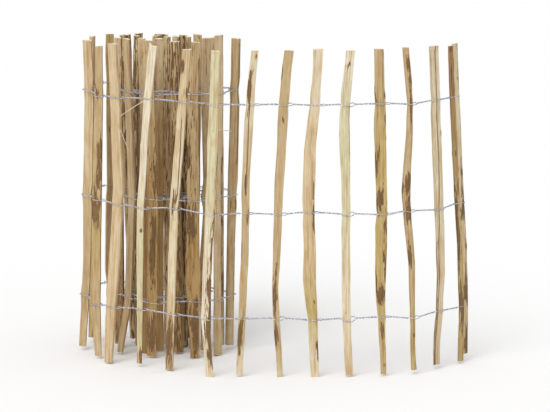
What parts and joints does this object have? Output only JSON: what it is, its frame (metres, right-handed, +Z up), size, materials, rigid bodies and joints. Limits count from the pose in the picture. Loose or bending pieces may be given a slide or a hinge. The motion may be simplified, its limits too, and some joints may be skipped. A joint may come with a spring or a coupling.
{
  "type": "hazel picket fence",
  "caption": "Roll of split hazel picket fencing, partly unrolled and standing, its pickets bound in three rows by twisted pairs of galvanised wire",
  "frame": {"origin": "on the ground under the middle of the fence's box", "axes": "+Z up the pickets, +X along the open run towards its free end, +Y from the fence's face to its back"},
  "size_m": [1.2264, 0.6132, 1.014],
  "materials": {
    "split_hazel": "raw split hazel, pale fibrous split faces with brown bark left on the round sides",
    "galvanised_wire": "dull zinc coat of a soft steel binding wire"
  },
  "bodies": {
    "root": {"bottom_wire_back_strand": "galvanised_wire", "bottom_wire_front_strand": "galvanised_wire", "middle_wire_back_strand": "galvanised_wire", "middle_wire_front_strand": "galvanised_wire", "picket_01": "split_hazel", "picket_02": "split_hazel", "picket_03": "split_hazel", "picket_04": "split_hazel", "picket_05": "split_hazel", "picket_06": "split_hazel", "picket_07": "split_hazel", "picket_08": "split_hazel", "picket_09": "split_hazel", "picket_10": "split_hazel", "picket_11": "split_hazel", "picket_12": "split_hazel", "picket_13": "split_hazel", "picket_14": "split_hazel", "picket_15": "split_hazel", "picket_16": "split_hazel", "picket_17": "split_hazel", "picket_18": "split_hazel", "picket_19": "split_hazel", "picket_20": "split_hazel", "picket_21": "split_hazel", "picket_22": "split_hazel", "picket_23": "split_hazel", "picket_24": "split_hazel", "picket_25": "split_hazel", "picket_26": "split_hazel", "picket_27": "split_hazel", "picket_28": "split_hazel", "picket_29": "split_hazel", "picket_30": "split_hazel", "picket_31": "split_hazel", "picket_32": "split_hazel", "picket_33": "split_hazel", "picket_34": "split_hazel", "picket_35": "split_hazel", "picket_36": "split_hazel", "picket_37": "split_hazel", "picket_38": "split_hazel", "picket_39": "split_hazel", "picket_40": "split_hazel", "top_wire_back_strand": "galvanised_wire", "top_wire_front_strand": "galvanised_wire"}
  },
  "joints": []
}
